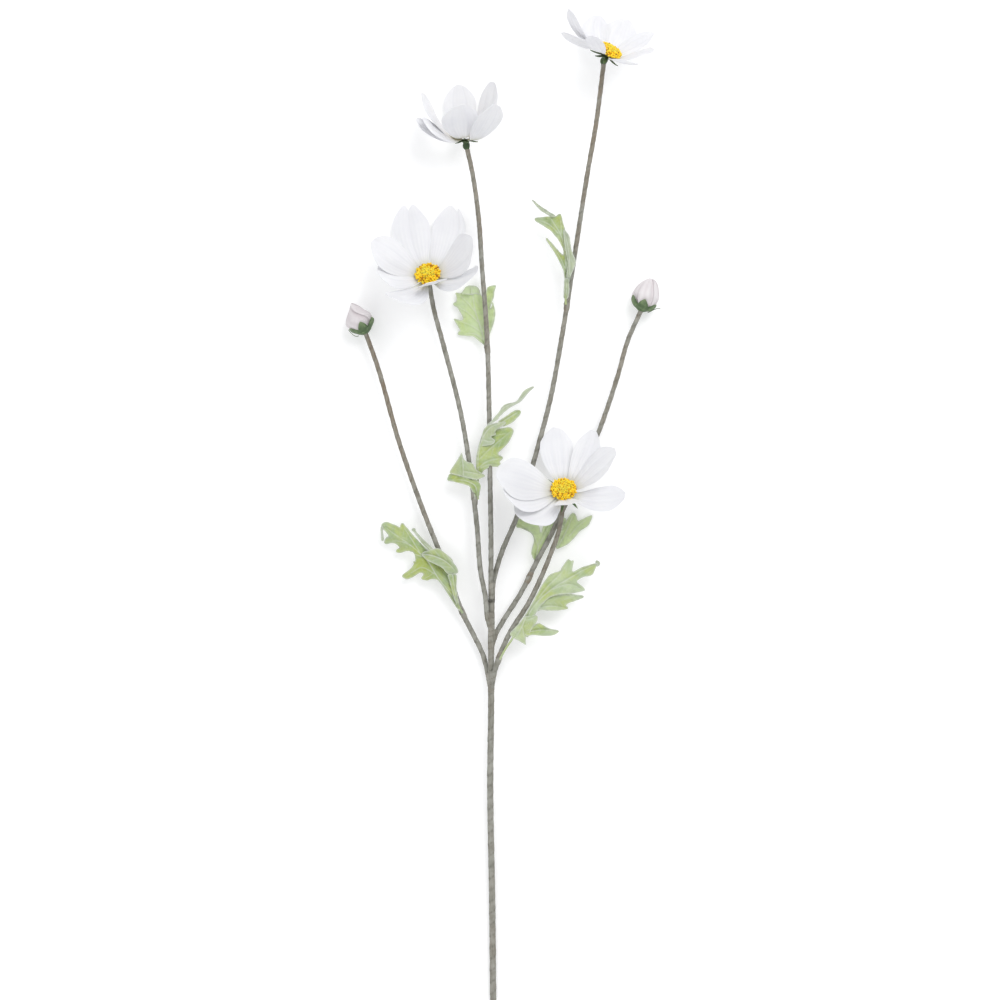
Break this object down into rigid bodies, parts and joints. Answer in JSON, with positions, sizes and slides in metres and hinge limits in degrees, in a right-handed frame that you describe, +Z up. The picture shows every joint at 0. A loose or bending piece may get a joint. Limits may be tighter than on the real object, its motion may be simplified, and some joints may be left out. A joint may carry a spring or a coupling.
{
  "type": "artificial cosmos flower spray",
  "caption": "Artificial cosmos spray lying on its back: branching taped stem, lobed leaves, open white flowers with yellow centres, and closed buds.",
  "frame": {"origin": "on the surface the spray lies on, under the middle of its outline", "axes": "+Y along the stem from the cut end to the flowers, +Z up from the surface, +X to the right seen from above with the flowers at the top"},
  "size_m": [0.2027, 0.6404, 0.0633],
  "materials": {
    "stem_tape": "matt grey-green wrapped tape",
    "leaf_fabric": "matt printed fabric with pale edges",
    "petal_fabric": "matt white fabric with pressed veins",
    "flower_disc": "matt, granular",
    "calyx_green": "matt dark green",
    "bud_fabric": "matt pinkish white fabric"
  },
  "bodies": {
    "root": {"stem": "stem_tape", "branch_bud_left": "stem_tape", "branch_flower_front": "stem_tape", "branch_bud_right": "stem_tape", "branch_flower_left": "stem_tape", "branch_flower_middle": "stem_tape", "branch_flower_top": "stem_tape", "leaf_bud_left": "leaf_fabric", "leaf_flower_front": "leaf_fabric", "leaf_bud_right": "leaf_fabric", "leaf_flower_left": "leaf_fabric", "leaf_flower_middle": "leaf_fabric", "leaf_flower_top": "leaf_fabric", "flower_left_petal_1": "petal_fabric", "flower_left_petal_2": "petal_fabric", "flower_left_petal_3": "petal_fabric", "flower_left_petal_4": "petal_fabric", "flower_left_petal_5": "petal_fabric", "flower_left_petal_6": "petal_fabric", "flower_left_petal_7": "petal_fabric", "flower_left_petal_8": "petal_fabric", "flower_left_disc": "flower_disc", "flower_left_calyx": "calyx_green", "flower_front_petal_1": "petal_fabric", "flower_front_petal_2": "petal_fabric", "flower_front_petal_3": "petal_fabric", "flower_front_petal_4": "petal_fabric", "flower_front_petal_5": "petal_fabric", "flower_front_petal_6": "petal_fabric", "flower_front_petal_7": "petal_fabric", "flower_front_petal_8": "petal_fabric", "flower_front_disc": "flower_disc", "flower_front_calyx": "calyx_green", "flower_top_petal_1": "petal_fabric", "flower_top_petal_2": "petal_fabric", "flower_top_petal_3": "petal_fabric", "flower_top_petal_4": "petal_fabric", "flower_top_petal_5": "petal_fabric", "flower_top_petal_6": "petal_fabric", "flower_top_petal_7": "petal_fabric", "flower_top_petal_8": "petal_fabric", "flower_top_disc": "flower_disc", "flower_top_calyx": "calyx_green", "flower_middle_petal_1": "petal_fabric", "flower_middle_petal_2": "petal_fabric", "flower_middle_petal_3": "petal_fabric", "flower_middle_petal_4": "petal_fabric", "flower_middle_petal_5": "petal_fabric", "flower_middle_petal_6": "petal_fabric", "flower_middle_petal_7": "petal_fabric", "flower_middle_petal_8": "petal_fabric", "flower_middle_disc": "flower_disc", "flower_middle_calyx": "calyx_green", "bud_left_petals": "bud_fabric", "bud_left_calyx": "calyx_green", "bud_right_petals": "bud_fabric", "bud_right_calyx": "calyx_green"}
  },
  "joints": []
}
